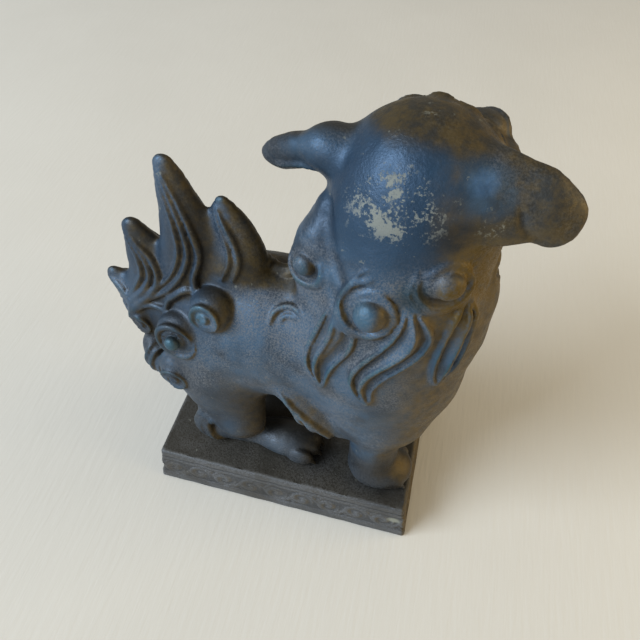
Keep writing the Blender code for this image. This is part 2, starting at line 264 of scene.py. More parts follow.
def shape_ears(clay):
    """Two drooping ears: broad paddles on round roots."""
    clay.lump((12, 4, 131.5), (7, 6, 6.5), 4)
    clay.add(bar([(10, 5, 130, 6.5), (5, 7, 128, 6.5), (-1, 10, 124, 6.2), (-4.5, 11, 121.5, 5)],
                 0.6, (0.25, 0.55, 0.8)), 3)
    clay.add(bar([(42, -3, 132, 8), (49, -4, 132.5, 7.5)], 0.9, (-0.1, -0.8, 0.6)), 5)
    clay.add(bar([(52, -5, 134, 7.9), (57.6, -6, 132.8, 8), (63.6, -6.3, 130.1, 6.7)],
                 0.42, (-0.2, -0.8, 0.55)), 2.5)
    clay.lump((52, -8.5, 128), (6.5, 4, 5), 3)


def shape_front_leg(clay, side):
    """A shoulder that overhangs a straight leg, and the leg's paw."""
    clay.lump((33, side * 12, 39), (17, 12, 16), 5)
    clay.add(bar([(34, side * 15, 34, 9), (34, side * 15, 6, 9)]), 2)
    clay.lump((38, side * 15, 5), (12, 10, 8), 3)


def shape_hind_leg(clay, side):
    """Thigh, hock, long foot and paw."""
    clay.lump((-24, side * 13.5, 34), (15, 8.5, 22), 6, rot_y(-15))
    clay.lump((-19, side * 15.5, 17), (10.5, 7.5, 10), 4, rot_y(-25))
    clay.add(bar([(-33, side * 12, 14, 5), (-30, side * 14, 6, 5.5), (-4, side * 13, 5, 5)]), 3)
    clay.lump((0, side * 13.5, 5.5), (13, 8, 6.5), 3)


TAIL_LOCKS = (
    [(-47, -3, 59, 8), (-54, -3, 66, 6.3), (-59, -2, 71.5, 4.2), (-61, -2, 74, 2.8)],
    [(-40, -4, 66, 9), (-44, -3, 80, 8.5), (-46, -2, 90, 6.3), (-48, -2, 97.5, 3.6)],
    [(-35, -5, 68, 10), (-32, -4, 84, 9.5), (-30, -2, 100, 8), (-32, 0, 114, 5.4),
     (-33, 0, 121, 3.2)],
    [(-27, -5, 70, 8), (-17, -3, 84, 10), (-15, -1, 96, 8), (-17, 0, 106, 5.2),
     (-18, 0, 111.5, 2.4)],
)


def shape_tail(clay):
    """A fan of four upright flame locks on a broad stem, the same on both faces."""
    clay.lump((-43, -2, 56), (13, 9, 27), 4, rot_y(-14))
    for rows in TAIL_LOCKS:
        clay.add(bar(rows, 0.62), 3)


def shape_mane_mounds(clay):
    """The breast, the mane's swell beside the neck, its knobby crest and the elbow tufts."""
    clay.lump((47, 0, 81), (12.5, 14, 20), 6)
    clay.lump((50.2, 0, 93.5), (10, 8, 14), 2)
    clay.add(bar([(15, -3, 117, 5.5), (12, -5, 109, 8), (11, -5, 100, 8), (10, -6, 92, 6)]), 3)
    for step in range(7):
        clay.lump((13 - 1.3 * step, 1.6 * step - 3, 119 - 4 * step), (4, 4, 4), 1.5)
    for side in SIDES:
        clay.add(bar([(1, side * 17, 52, 4), (8, side * 18, 45, 5), (15, side * 18, 38, 5),
                      (21, side * 17, 32, 4)]), 3)


def hairline_place(turn):
    """A place on the hairline in the head's directions, by degrees from the crown's middle."""
    angle = math.radians(turn)
    return 16 * math.sin(angle), 9 - abs(turn) / 20, 18.5 * math.cos(angle) - 1


HAIRLINE = [hairline_place(turn) for turn in (-72, -47, -23, 0, 22, 46, 70)]


def shape_hairline(clay):
    """Snail curls in a row over the forehead."""
    for place in HAIRLINE:
        clay.lump(on_head(*place), (4, 4, 4), 1.2)


def shape_tail_knobs(clay):
    """Round bosses where the tail's locks spring from the rump, on both faces."""
    for side in SIDES:
        clay.lump((-21, side * 12, 79), (7.4, 7.5, 7.8), 1)
        clay.lump((-33, side * 14, 66), (9, 6.5, 8.6), 1)
        clay.lump((-49.5, side * 7, 60), (5, 5.5, 9), 1, rot_y(-12))
        clay.lump((-46, side * 10, 44), (6.5, 7, 12), 1, rot_y(-16))
        clay.lump((-37, side * 16, 46), (7, 6.5, 9), 1, rot_y(-10))


def shape_toe(clay, x, y, reach):
    """One rounded toe and its claw, from the middle of the toe."""
    clay.lump((x, y, 4.4), (reach, 2.6, 5), 0.6)
    claw = [(x + reach - 1.2, y, 3.6, 1.1), (x + reach + 0.6, y, 0.8, 0.6)]
    clay.add(chain(claw), 0.4)


def shape_toes(clay):
    """Four toes on every paw, the inner ones a little ahead."""
    for x, y in [(44.5, 14.5), (8.5, 13.5)]:
        for side in SIDES:
            for place in (-1.5, -0.5, 0.5, 1.5):
                shape_toe(clay, x - 1.6 * abs(place), side * y + place * 4.3, 5.5)


def shape_brow_and_eye(clay, side):
    """One half of the upper face: brow, temple, cheek, eye in its socket and muzzle."""
    clay.add(head_lump(side * 8, 17, 11, (6.5, 5, 4.5)), 2)
    clay.add(head_lump(side * 15, 12.5, 5, (5.5, 6, 6)), 3)
    clay.add(head_lump(side * 14, 13, -5, (7, 7, 8)), 3)
    clay.cut(head_lump(side * 8.5, 22, 5.5, (5.6, 4.5, 4.6)), 1.5)
    clay.lump(on_head(side * 8.5, 18.5, 5.5), (4.4, 4.4, 4.2), 0.5)
    clay.add(head_lump(side * 6.5, 26, -4.5, (7, 6.5, 5.5)), 2)


def shape_nose(clay):
    """The nose's bridge, its tip and two nostrils."""
    clay.add(bar([(*on_head(0, 17, 11), 5), (*on_head(0, 24, 5), 4.5), (*on_head(0, 29, 1), 5)]), 3)
    clay.add(head_lump(0, 30.5, 1.5, (6.2, 4.5, 4.6)), 1)
    for side in SIDES:
        clay.add(head_lump(side * 5, 30, 0.5, (3.2, 3.6, 3)), 0.8)
        clay.cut(ellipsoid(on_head(side * 3.2, 34.2, -0.6), (1.4, 1.6, 1.1)), 0.6)


def shape_mouth(clay):
    """The open mouth, the lower jaw and a flat tongue."""
    clay.cut(head_lump(0, 30, -10, (11.5, 11, 4.6)), 1)
    clay.add(head_lump(0, 23, -17, (10.5, 8.5, 4.5)), 2)
    tongue = [(*on_head(0, 17, -13), 5), (*on_head(0, 25, -12), 3.8), (*on_head(0, 30, -11.5), 2.2)]
    clay.add(bar(tongue, 0.5, (0, 0, 1)), 0.6)


def shape_face(clay):
    """A generic guardian lion's face."""
    for side in SIDES:
        shape_brow_and_eye(clay, side)
    shape_nose(clay)
    shape_mouth(clay)


def shape_figure(clay):
    """The whole lion, without surface detail."""
    shape_trunk(clay)
    shape_head(clay)
    shape_ears(clay)
    for side in SIDES:
        shape_front_leg(clay, side)
        shape_hind_leg(clay, side)
    shape_tail(clay)
    shape_tail_knobs(clay)
    shape_mane_mounds(clay)
    shape_mane_pads(clay)
    shape_hairline(clay)
    shape_toes(clay)
    shape_face(clay)


# -------- surface detail

def stroke(clay, points, radius, lift=0.4, blend=0.8, tips=(0.35, 0.3), carve=False):
    """A raised or carved line along points, laid on the skin and tapered to its tips."""
    curve = spline(points, 1.6)
    t = np.linspace(0, 1, len(curve))
    swell = np.minimum(1, np.minimum(tips[0] + t * 4, tips[1] + (1 - t) * 3))
    width = (radius * swell)[:, None]
    laid, normals = clay.skin.snap(curve)
    bars = chain(np.hstack([laid + normals * lift * width, width]))
    clay.merge(bars, blend, -1 if carve else 1)


def directions(clay, centre):
    """A place on the skin, with its normal and the ways right and up as seen from outside."""
    (point,), (normal,) = clay.skin.snap([centre])
    right = np.cross((0, 0, 1), normal)
    right /= np.linalg.norm(right)
    return point, normal, right, np.cross(normal, right)


def arc(clay, centre, radii, start, sweep, hand=1):
    """Points on a spiral arc round a centre; hand -1 mirrors it left for right."""
    point, _, right, up = directions(clay, centre)
    t = np.linspace(0, 1, 3 + int(abs(sweep) / 22))[:, None]
    angle = np.radians(start + sweep * t)
    size = radii[0] + (radii[1] - radii[0]) * t
    return point + size * (np.cos(angle) * right * hand + np.sin(angle) * up)


def snail(clay, centre, radius, hand=1, start=0.0, turns=1.6):
    """A snail curl: a spiral groove with a raised rim round it."""
    groove = arc(clay, centre, (radius * 0.15, radius * 0.85), start, 360 * turns, hand)
    stroke(clay, groove, radius * 0.16, 0.1, 0.4, (0.8, 0.4), True)
    rim = arc(clay, centre, (radius, radius * 1.08), start + 200, 345, hand)
    stroke(clay, rim, radius * 0.16, 0.3, 0.5)


def button(clay, centre, radius, height):
    """A round boss standing on the skin."""
    point, normal = directions(clay, centre)[:2]
    turn = np.array(Vector(normal).to_track_quat("Z", "Y").to_matrix())
    clay.lump(point, (radius, radius, height), 0.5, turn)


def mane_curl(clay, centre, size, start, boss=0.8):
    """A boss held by a broad crescent band with a rolled rim, open at the start."""
    flute = arc(clay, centre, (1.75 * size, 1.2 * size), start + 10, 195)
    band = arc(clay, centre, (2.3 * size, 1.65 * size), start, 215)
    rim = arc(clay, centre, (2.75 * size, 2.1 * size), start + 5, 190)
    stroke(clay, band, 0.42 * size, 0.0, 1.0, (0.2, 0.4))
    stroke(clay, flute, 0.24 * size, 0.4, 0.8, (0.4, 0.5), True)
    stroke(clay, rim, 0.17 * size, 0.5, 0.7)
    button(clay, centre, size, boss * size)


def flame_line(clay, root, tip, bend, sway, width, place):
    """A line down a flame lock: place -1 and 1 are its edges and 0 is its middle."""
    root, tip = np.array(root, float), np.array(tip, float)
    right = directions(clay, (root + tip) / 2)[2]
    t = np.linspace(0, 1, 10)[:, None]
    swing = bend * np.sin(math.pi * t) + sway * np.sin(2 * math.pi * t)
    half = width * np.sin(math.pi * np.clip(t, 0.04, 0.99) ** 0.8) ** 0.8
    return root + (tip - root) * t + right * (swing + place * half)


def flame(clay, root, tip, bend, sway, width):
    """A flame lock: three crests that part at the root and meet at the tip, fluted between."""
    for place in (-0.5, 0.5):
        rows = flame_line(clay, root, tip, bend, sway, width, place)
        stroke(clay, rows, 0.34 * width, 0.55, 1.0, (0.3, 0.2), True)
    for place in (-1, 0, 1):
        rows = flame_line(clay, root, tip, bend, sway, width, place)
        stroke(clay, rows, 0.6 + 0.05 * width, 0.4, 0.7)


# Curls on the right flank of the neck: centre, size and the angle where the bands open.
FLANK_CURLS = (
    ((28, -21, 104), 4.5, 100),
    ((45, -18, 115), 3.9, 150),
    ((8, -13, 107), 3.2, 165),
)

# Flame locks of the right flank: root, tip, bend, sway and half width.
FLANK_FLAMES = (
    ((20, -18, 99), (16, -23, 67), -2, 1.5, 5.5),
    ((38, -21, 105), (30, -24, 67), -1, 3.5, 5),
    ((51, -15, 108), (48, -17, 75), 1, 0.5, 4),
)

# Curls on the left of the neck: degrees from the chest round to the left, height and size.
LEFT_CURLS = ((50, 98, 4.4), (135, 94, 4.4), (165, 100, 3.6))


def neck_place(turn, height):
    """A place round the neck, by degrees from the chest."""
    angle = math.radians(turn)
    return np.array((32 + 24 * math.cos(angle), 24 * math.sin(angle), height))


def mane_flames():
    """Every flame lock of the mane: the right flank's, their mirror images and a pair on the breast."""
    flames = list(FLANK_FLAMES)
    mirror = np.array((1, -1, 1))
    for root, tip, bend, sway, width in FLANK_FLAMES:
        flames.append((root * mirror - (0, 0, 12), tip * mirror, -bend, -sway, width))
    turn, height, _ = LEFT_CURLS[0]
    for place in (-8, 8):
        root = neck_place(turn + 2 * place, height - 8)
        tip = neck_place(turn + place, height - 32)
        flames.append((root, tip, 1, 1.5, 3.6))
    return flames


def shape_mane_pads(clay):
    """Low swellings that lift the mane's curls and locks off the neck."""
    for root, tip, bend, sway, width in mane_flames():
        rows = flame_line(clay, root, tip, bend, sway, width, 0)
        stroke(clay, rows, width, -0.65, 2.5)
    for centre, size, _ in FLANK_CURLS[:2]:
        button(clay, centre, 1.6 * size, 1.2)


def detail_mane(clay):
    """Flame locks and curls round the neck, and a small double arc on each shoulder."""
    for rows in mane_flames():
        flame(clay, *rows)
    for centre, size, start in FLANK_CURLS:
        mane_curl(clay, centre, size, start)
    crest_valley = [(12, -8, 124), (14, -13, 116), (19, -17, 109)]
    stroke(clay, crest_valley, 2, 0.6, 2.5, (0.3, 0.3), True)
    for turn, height, size in LEFT_CURLS:
        mane_curl(clay, neck_place(turn, height), size, 110, 0.5)
    for side in SIDES:
        shoulder = (4, side * 16, 82)
        stroke(clay, arc(clay, shoulder, (6, 7), 60, 130, -side), 1)
        stroke(clay, arc(clay, shoulder, (3.5, 4), 70, 110, -side), 0.8)


# Where a tail lock's crests run, in its own radii from its spine.
TAIL_CRESTS = (-0.25, -0.65, -1.05)


def tail_crest(clay, spine, swing, shift, side):
    """One crest along a tail lock, on one face of the tail."""
    line = spine[:, :3].copy()
    line[:, 0] += swing + shift * spine[:, 3]
    line[:, 1] += side * spine[:, 3]
    stroke(clay, line, 1.2 + 0.4 * shift, 0.4, 0.7, (0.5, 0.2))


def detail_tail_lock(clay, rows, start, shifts):
    """Crests that swing along one tail lock from start, a share of its length."""
    spine = spline(rows, 5)
    spine = spine[int(start * len(spine)):]
    t = np.linspace(start, 1, len(spine))
    swing = (1.1 * np.sin(math.pi * t) - 1.6 * (1 - t) ** 3) * spine[:, 3]
    for shift in shifts:
        for side in SIDES:
            tail_crest(clay, spine, swing, shift, side)


def detail_tail(clay):
    """Crests along the tail's locks and spirals on its bosses, on both faces."""
    for rows in TAIL_LOCKS[:3]:
        detail_tail_lock(clay, rows, 0, TAIL_CRESTS)
    detail_tail_lock(clay, TAIL_LOCKS[3], 0.4, TAIL_CRESTS[1:])
    for side in SIDES:
        snail(clay, (-22, side * 20, 81), 5.2, -side, 90)
        snail(clay, (-34, side * 21, 67.5), 6.8, -side, 180, 2.1)
        button(clay, (-34, side * 21, 67.5), 2.6, 2)
        snail(clay, (-51, side * 13, 61), 4, -side, 90, 1.2)
        snail(clay, (-38, side * 23, 46), 4.8, -side, 40, 1.3)
        for shift in (-3, 0, 3):
            rows = [(-44 + shift, side * 16, 56), (-48 + shift, side * 17, 47),
                    (-48 + shift, side * 15, 37)]
            stroke(clay, rows, 0.8, 0.3)


def detail_spine(clay):
    """The ridge of the back with its knuckles."""
    stroke(clay, [(-10, 0, 90), (-4, 0, 90.5), (3, 0, 92), (9, 0, 96)], 1.8, 0.3)
    for x in (-8, -4.5, -1, 2.5, 6):
        stroke(clay, [(x, -2.4, 92), (x + 1, 0, 93), (x, 2.4, 92)], 0.7, 0.6)


def detail_elbow_tuft(clay, side):
    """Three hair strands that trail from the elbow over the belly."""
    for start, end in [(0, 0), (4.5, 3), (9, 5)]:
        rows = [(1 + start, side * 22, 53 - start), (6 + start, side * 23, 47 - start),
                (9 + start, side * 22, 38 - end), (9 + start, side * 20, 33 - end)]
        stroke(clay, rows, 1.2, 0.4)


def detail_hock_tuft(clay, side):
    """Three hair strands that hang behind the hock."""
    for place in range(3):
        rows = [(-35 + 3 * place, side * 21, 20 - place), (-38 + 3 * place, side * 19, 12),
                (-37 + 3.5 * place, side * 19, 5), (-34 + 4 * place, side * 19.5, 1)]
        stroke(clay, rows, 1.6, 0.3, 1.0, (0.7, 0.4))


def detail_body(clay):
    """Spine, elbow tufts and hock tufts."""
    detail_spine(clay)
    for side in SIDES:
        detail_elbow_tuft(clay, side)
        detail_hock_tuft(clay, side)


def detail_ears(clay):
    """Folds behind the ears and hollows in front of them."""
    right_fold = [(55.5, -9.5, 133), (58, -11.5, 129), (63, -12, 126)]
    left_fold = [(6, -2, 125), (0, 2, 123), (-6, 5, 120)]
    right_hollow = [(54, 3, 136), (58, 3, 131), (61, 2, 125)]
    left_hollow = [(6, 14, 130), (1, 16, 127), (-3, 17, 123)]
    stroke(clay, right_fold, 1, 0.3, 0.8, (0.4, 0.3), True)
    stroke(clay, left_fold, 0.8)
    stroke(clay, right_hollow, 1, 0.1, 0.8, (0.4, 0.4), True)
    stroke(clay, left_hollow, 1, 0.1, 0.8, (0.4, 0.4), True)


def face_stroke(clay, points, radius, **looks):
    """A stroke on both halves of the face, through points given on the head."""
    for side in SIDES:
        stroke(clay, [on_head(side * x, y, z) for x, y, z in points], radius, **looks)


def detail_eyes(clay):
    """Double brow ridges, upper and lower lids and pupils."""
    for rise, radius in [(0, 1.2), (2.3, 0.9)]:
        ridge = [(2.5, 25, 9), (7, 25, 11.5), (11.5, 22, 12), (14.5, 18, 9.5), (16.5, 15, 6.5)]
        face_stroke(clay, [(x, y, z + rise) for x, y, z in ridge], radius)
    face_stroke(clay, [(4, 23, 5), (8.5, 24, 9.5), (13.5, 20, 6)], 0.9)
    face_stroke(clay, [(4, 23, 4.5), (8.5, 23, 1.6), (13.5, 20, 4.5)], 0.8)
    face_stroke(clay, [(8.4, 26, 5.9), (8.6, 26, 5.1)], 1.1, lift=0.0, blend=0.3, carve=True)


def detail_muzzle(clay):
    """Wrinkles over the nose, lips, and teeth with fangs."""
    upper_lip = [(1, 34, -4.2), (6, 33, -6), (11, 28, -6.6), (14, 22, -8), (15.5, 19, -12)]
    lower_lip = [(0, 32, -15), (6, 30, -15), (11, 25, -14), (14, 20, -12)]
    face_stroke(clay, [(0, 30, 7.5), (3.5, 28, 6.5), (5, 26, 3.5)], 0.7)
    face_stroke(clay, [(0, 32, 5.4), (3.5, 30, 4.6), (6, 28, 2)], 0.7)
    face_stroke(clay, upper_lip, 1.3)
    face_stroke(clay, lower_lip, 1.2)
    for x in (1.7, 4.6):
        tooth(clay, (x, 29.5, -6.5), (x, 29.2, -9.2), 1.5)
        tooth(clay, (x, 28.5, -14.5), (x, 28.5, -12.2), 1.3)
    tooth(clay, (8, 27.5, -6.5), (8.3, 26.8, -11.6), 1.5)


def detail_face(clay):
    """Snail curls along the hairline, eyes, muzzle and beard."""
    for x, y, z in HAIRLINE:
        snail(clay, on_head(1.1 * x, y + 4, 1.1 * z), 3.4, 1, 30, 1.3)
    detail_eyes(clay)
    detail_muzzle(clay)
    detail_beard(clay)


def tooth(clay, root, tip, radius):
    """A tooth on each half of the mouth."""
    for side in SIDES:
        ends = [on_head(side * x, y, z) for x, y, z in (root, tip)]
        clay.add(chain([(*ends[0], radius), (*ends[1], radius * 0.55)]), 0.3)


def detail_beard(clay):
    """Beard locks under the jaw and swirls on the cheeks."""
    for place in (-2, -1, 0, 1, 2):
        for half in (-0.5, 0.5):
            x = 5.2 * place + 2.2 * half
            rows = [on_head(x, 26 - abs(place) * 2, -20), on_head(x + 1.2, 24 - abs(place), -26),
                    on_head(x - 0.6, 22, -32), on_head(x + 1.4, 23, -38)]
            stroke(clay, rows, 1.6, 0.5, 0.8, (0.6, 0.3))
    for side in SIDES:
        snail(clay, on_head(side * 20, 10, -9), 4.4, side, 0, 1.4)
        snail(clay, on_head(side * 19, 3, -20), 4.4, side, 60, 1.4)
        snail(clay, on_head(side * 21, 6, 2), 3.6, side, 120, 1.2)


def detail_figure(clay):
    """All relief, laid on a kept copy of the large forms."""
    clay.skin = Clay(CLAY_LOW, CLAY_HIGH, clay.step)
    clay.skin.field = clay.field.copy()
    detail_mane(clay)
    detail_tail(clay)
    detail_body(clay)
    detail_ears(clay)
    detail_face(clay)


def box_blur(field, reach):
    """The field averaged over a cube of 2 * reach + 1 cells."""
    for axis in range(3):
        pads = [(reach + 1, reach) if i == axis else (0, 0) for i in range(3)]
        total = np.cumsum(np.pad(field, pads, mode="edge"), axis=axis, dtype=np.float64)
        width = 2 * reach + 1
        high = np.take(total, range(width, total.shape[axis]), axis=axis)
        low = np.take(total, range(total.shape[axis] - width), axis=axis)
        field = ((high - low) / width).astype(np.float32)
    return field


def hand_finish(clay, spacing, depth, seed):
    """A slight seeded unevenness over the whole surface."""
    reach = np.array(clay.field.shape) * clay.step / spacing
    coarse = np.random.default_rng(seed).uniform(-depth, depth, np.ceil(reach).astype(int) + 3)
    for axis, count in enumerate(clay.field.shape):
        where = np.arange(count) * clay.step / spacing
        base = where.astype(int)
        part = where - base
        part = part * part * (3 - 2 * part)
        part = part.reshape([-1 if i == axis else 1 for i in range(3)])
        coarse = (np.take(coarse, base, axis=axis) * (1 - part)
                  + np.take(coarse, base + 1, axis=axis) * part)
    clay.field += coarse.astype(np.float32)


def relief_of(clay, points):
    """How far each point stands out of, or sinks below, the form around it."""
    reach = max(1, round(2.0 / clay.step))
    flat = Clay(CLAY_LOW, CLAY_HIGH, clay.step)
    flat.field = box_blur(np.clip(clay.field, -5, 5), reach)
    return flat.sample(points) - clay.sample(points)


# -------- casting the clay in sections

# Where the castings meet: heights on the figure, and the ears' places in the head's directions.
NECK_JOINT = 94
EAR_JOINT = 20.5
EAR_LOW = -11
FRONT_LEG_JOINT = 22
HIND_LEG_JOINT = 16
BETWEEN_LEGS = 19

# The tail's joint as x and z, from the deck up.
TAIL_JOINT = [(-40, -8), (-40, 64), (-12, 86), (-4, 91), (-4, 106), (-14.5, 112), (-14.5, 160)]


def to_head(points):
    """Points in the head's own directions."""
    return (points - HEAD_CENTRE) @ HEAD_TURN


def in_tail(points):
    """Which points lie on the tail's side of the tail joint."""
    x, z = points[:, 0], points[:, 2]
    inside = np.zeros(len(points), bool)
    for (x0, z0), (x1, z1) in zip(TAIL_JOINT, TAIL_JOINT[1:]):
        if z1 > z0:
            here = (z >= z0) & (z < z1)
            inside |= here & (x < x0 + (x1 - x0) * (z - z0) / (z1 - z0))
    return inside


def section_of(points):
    """The name of the casting each point belongs to."""
    x, y, z = points.T
    local = to_head(points)
    ear = (local[:, 2] > EAR_LOW) & (np.abs(local[:, 0]) > EAR_JOINT)
    front = (z < FRONT_LEG_JOINT) & (x > BETWEEN_LEGS)
    hind = (z < HIND_LEG_JOINT) & (x < BETWEEN_LEGS)
    names = np.full(len(points), "body", dtype=object)
    names[z > NECK_JOINT] = "head"
    for side, legs, ears in (("left", y > 0, local[:, 0] < 0), ("right", y <= 0, local[:, 0] > 0)):
        names[ear & ears] = "ear_" + side
        names[front & legs] = "front_leg_" + side
        names[hind & legs] = "hind_leg_" + side
    names[in_tail(points)] = "tail"
    return names


def joint_planes():
    """Every joint plane: a point on it, its normal and which points it may cut."""
    planes = [
        ((0, 0, NECK_JOINT), (0, 0, 1), lambda p: p[:, 0] > -6),
        ((0, 0, FRONT_LEG_JOINT), (0, 0, 1), lambda p: p[:, 0] > BETWEEN_LEGS),
        ((0, 0, HIND_LEG_JOINT), (0, 0, 1), lambda p: (p[:, 0] < BETWEEN_LEGS) & (p[:, 0] > -42)),
        (on_head(0, 0, EAR_LOW), HEAD_TURN[:, 2],
         lambda p: np.abs(to_head(p)[:, 0]) > EAR_JOINT - 2),
    ]
    for side in SIDES:
        planes.append((on_head(side * EAR_JOINT, 0, 0), HEAD_TURN[:, 0],
                       lambda p: to_head(p)[:, 2] > EAR_LOW - 2))
    for (x0, z0), (x1, z1) in zip(TAIL_JOINT, TAIL_JOINT[1:]):
        low, high = min(z0, z1) - 2, max(z0, z1) + 2
        planes.append(((x0, 0, z0), (z1 - z0, 0, x0 - x1), lambda p, low=low, high=high:
                       (p[:, 2] > low) & (p[:, 2] < high) & (p[:, 0] < 0)))
    return planes


def vert_array(bm):
    """All vertex positions of a bmesh."""
    return np.array([v.co[:] for v in bm.verts])


def clay_mesh(clay):
    """The clay's surface as a bmesh, cut along every joint plane."""
    grid = vdb.FloatGrid(EMPTY)
    grid.copyFromArray(clay.field)
    points, quads = grid.convertToQuads(isovalue=0.0)[:2]
    mesh = bpy.data.meshes.new("clay")
    mesh.from_pydata(points * clay.step + clay.low, [], quads)
    bm = bmesh.new()
    bm.from_mesh(mesh)
    bpy.data.meshes.remove(mesh)
    for place, normal, may_cut in joint_planes():
        allowed = may_cut(vert_array(bm))
        bm.verts.index_update()
        faces = [f for f in bm.faces if allowed[f.verts[0].index]]
        edges = list(dict.fromkeys(e for f in faces for e in f.edges))
        bmesh.ops.bisect_plane(bm, geom=faces + edges, plane_co=place, plane_no=normal, dist=1e-5)
    bm.normal_update()
    bm.verts.index_update()
    return bm


def boundary_loops(bm):
    """The open edges of a bmesh, loop by loop, in the same order on every run."""
    left = dict.fromkeys(e for e in bm.edges if e.is_boundary)
    loops = []
    while left:
        edge = left.popitem()[0]
        loop, front = [edge], [edge]
        while front:
            for vert in front.pop().verts:
                for other in vert.link_edges:
                    if other in left:
                        del left[other]
                        loop.append(other)
                        front.append(other)
        loops.append(loop)
    return loops


def place_of(vectors):
    """Figure units to metres."""
    return np.asarray(vectors) * UNIT + np.array((0, 0, DECK))


def put_relief(mesh, relief):
    """Store each vertex's relief for the materials."""
    attribute = mesh.attributes.new("relief", "FLOAT", "POINT")
    attribute.data.foreach_set("value", relief.astype(np.float32))


def section_mesh(name, bm, faces, relief):
    """A casting's share of the clay's faces as a mesh, and the clay's normals at its vertices."""
    used = sorted({v.index for f in faces for v in f.verts})
    number = {index: i for i, index in enumerate(used)}
    bm.verts.ensure_lookup_table()
    points = [bm.verts[i].co[:] for i in used]
    mesh = bpy.data.meshes.new(name)
    mesh.from_pydata(points, [], [[number[v.index] for v in f.verts] for f in faces])
    put_relief(mesh, relief[used])
    return mesh, np.array([bm.verts[i].normal[:] for i in used])


def close_joints(mesh):
    """Cap a casting's open joints."""
    piece = bmesh.new()
    piece.from_mesh(mesh)
    for loop in boundary_loops(piece):
        bmesh.ops.triangle_fill(piece, edges=loop, use_beauty=True)
    bmesh.ops.recalc_face_normals(piece, faces=piece.faces)
    piece.to_mesh(mesh)
    piece.free()


def corner_normals(mesh, normals, skin_faces):
    """Normals per corner: the clay's own on the skin, and flat ones on the caps."""
    corners = np.zeros((len(mesh.loops), 3))
    for polygon in mesh.polygons:
        polygon.use_smooth = True
        if polygon.index >= skin_faces:
            corners[polygon.loop_start:polygon.loop_start + polygon.loop_total] = polygon.normal
    verts = np.zeros(len(mesh.loops), int)
    mesh.loops.foreach_get("vertex_index", verts)
    last = mesh.polygons[skin_faces - 1]
    skin_end = last.loop_start + last.loop_total
    corners[:skin_end] = normals[verts[:skin_end]]
    return corners


def cast_section(name, bm, faces, relief, material, slot):
    """One casting: its share of the clay's faces, closed by caps at the joints."""
    mesh, normals = section_mesh(name, bm, faces, relief)
    skin_faces = len(mesh.polygons)
    close_joints(mesh)
    corners = corner_normals(mesh, normals, skin_faces)
    mesh.vertices.foreach_set("co", place_of([v.co[:] for v in mesh.vertices]).ravel())
    mesh.update()
    mesh.normals_split_custom_set(corners)
    add_piece(name, mesh, material)


def add_piece(name, mesh, material):
    """A finished piece that rides on the statue and stands for the CAD node of its name."""
    piece = bpy.data.objects.new(f"{name}_casting", mesh)
    bpy.context.scene.collection.objects.link(piece)
    mesh.materials.append(material)
    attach(piece, "root")
    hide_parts(name)


def sculpt():
    """The lion's finished clay."""
    clay = Clay(CLAY_LOW, CLAY_HIGH, CLAY_STEP)
    shape_figure(clay)
    detail_figure(clay)
    hand_finish(clay, spacing=7, depth=0.22, seed=4)
    hand_finish(clay, spacing=2.5, depth=0.07, seed=9)
    return clay


def make_figure(blue, brown):
    """Sculpt the lion, cut it at the joints and cast it: the legs in the darker, browner bronze that
    paints their shade, the rest blue.
    """
    clay = sculpt()
    bm = clay_mesh(clay)
    relief = relief_of(clay, vert_array(bm))
    centres = np.array([f.calc_center_median()[:] for f in bm.faces])
    shares = {}
    for face, name in zip(bm.faces, section_of(centres)):
        shares.setdefault(name, []).append(face)
    for name, faces in shares.items():
        finish = (brown, "bronze_brown") if "leg" in name else (blue, "bronze_blue")
        cast_section(name, bm, faces, relief, *finish)
    bm.free()


# -------- plinth

# Sizes in metres.
PLINTH_WALL = 0.0055
DECK_THICKNESS = 0.005
FRIEZE_CELL = 0.0118
CORNER_ROUND = 0.0013
OUTLINE_STEP = 0.0006
FLARE = (PLINTH_HIGH.x - PLINTH_LOW.x) / 2 * (1 - DECK_LENGTH / FOOT_LENGTH)
HALF_DECK = (np.array(PLINTH_HIGH) - np.array(PLINTH_LOW))[:2] / 2 - FLARE

# Heights on the plinth's side, from 0 at the foot to 1 at the deck.
FRIEZE_LOW, FRIEZE_HIGH = 0.20, 0.68
GROOVE = 0.80
SIDE_LEVELS = np.linspace(0, 1, 44)

# How far in from the deck's edge its rings of points lie.
DECK_INSETS = (0.0016, 0.003, 0.006, 0.010, 0.015, 0.021, 0.027)


def deck_outline():
    """Points round the deck's edge with small round corners, and the distance along it."""
    points = []
    for quarter, corner in enumerate(((1, 1), (-1, 1), (-1, -1), (1, -1))):
        middle = np.array(corner) * (HALF_DECK - CORNER_ROUND)
        for turn in range(5):
            angle = math.radians(90 * quarter + 22.5 * turn)
            points.append(middle + CORNER_ROUND * np.array((math.cos(angle), math.sin(angle))))
    points = np.array(points + points[:1])
    lengths = np.concatenate([[0], np.cumsum(np.linalg.norm(np.diff(points, axis=0), axis=1))])
    along = np.linspace(0, lengths[-1], int(lengths[-1] / OUTLINE_STEP), endpoint=False)
    ring = np.stack([np.interp(along, lengths, points[:, i]) for i in (0, 1)], axis=1)
    return ring, along


def frieze(along, height):
    """Relief of the worn running scroll, from 0 in the field to 1 on its crests."""
    cell = np.floor(along / FRIEZE_CELL)
    x = (along / FRIEZE_CELL - cell - 0.5) * 2
    y = (height - FRIEZE_LOW) / (FRIEZE_HIGH - FRIEZE_LOW) * 2 - 1
    y = y * np.where(cell % 2 > 0, -1, 1)
    radius = np.hypot(x + 0.12, y * 0.9)
    swirl = np.sin(np.arctan2(y, x + 0.12) + 7.5 * radius)
    stem = np.exp(-((y - 0.75 * np.sin(math.pi * x * 0.9)) / 0.22) ** 2)
    crest = np.where(radius < 0.85, 0.5 + 0.5 * swirl, stem)
    return np.clip(crest, 0, 1) * np.clip((1 - np.abs(y)) / 0.15, 0, 1)


